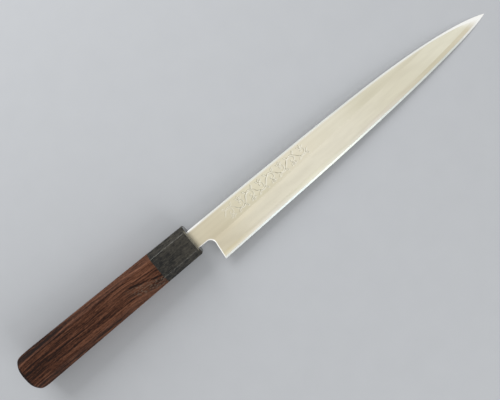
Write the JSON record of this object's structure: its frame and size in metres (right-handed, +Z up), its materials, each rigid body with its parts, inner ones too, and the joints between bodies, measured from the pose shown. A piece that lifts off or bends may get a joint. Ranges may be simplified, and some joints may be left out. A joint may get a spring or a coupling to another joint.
{
  "type": "yanagiba knife",
  "caption": "Long slim single-bevel slicing knife with a hollow-ground back, a dark ferrule and a faceted wooden handle.",
  "frame": {"origin": "middle of the ferrule's lower front edge, where the lying knife touches the surface", "axes": "+X along the knife towards the tip, +Y towards the spine in the plane of the surface, +Z up out of the bevelled face"},
  "size_m": [0.377, 0.0368, 0.0239],
  "materials": {
    "soft_cladding": "fine satin on the flat, hazy stone finish on the bevel",
    "hard_steel": "brighter stone finish with a polished cutting edge",
    "horn": "polished dark horn",
    "dark_wood": "oiled, open-grained dark wood",
    "pale_wood": "plain pale wood, unfinished",
    "seal_resin": "dark resin"
  },
  "bodies": {
    "root": {"cladding": "soft_cladding", "edge_steel": "hard_steel", "ferrule": "horn", "handle": "dark_wood", "tang_dowel": "pale_wood", "neck_seal": "seal_resin"}
  },
  "joints": []
}
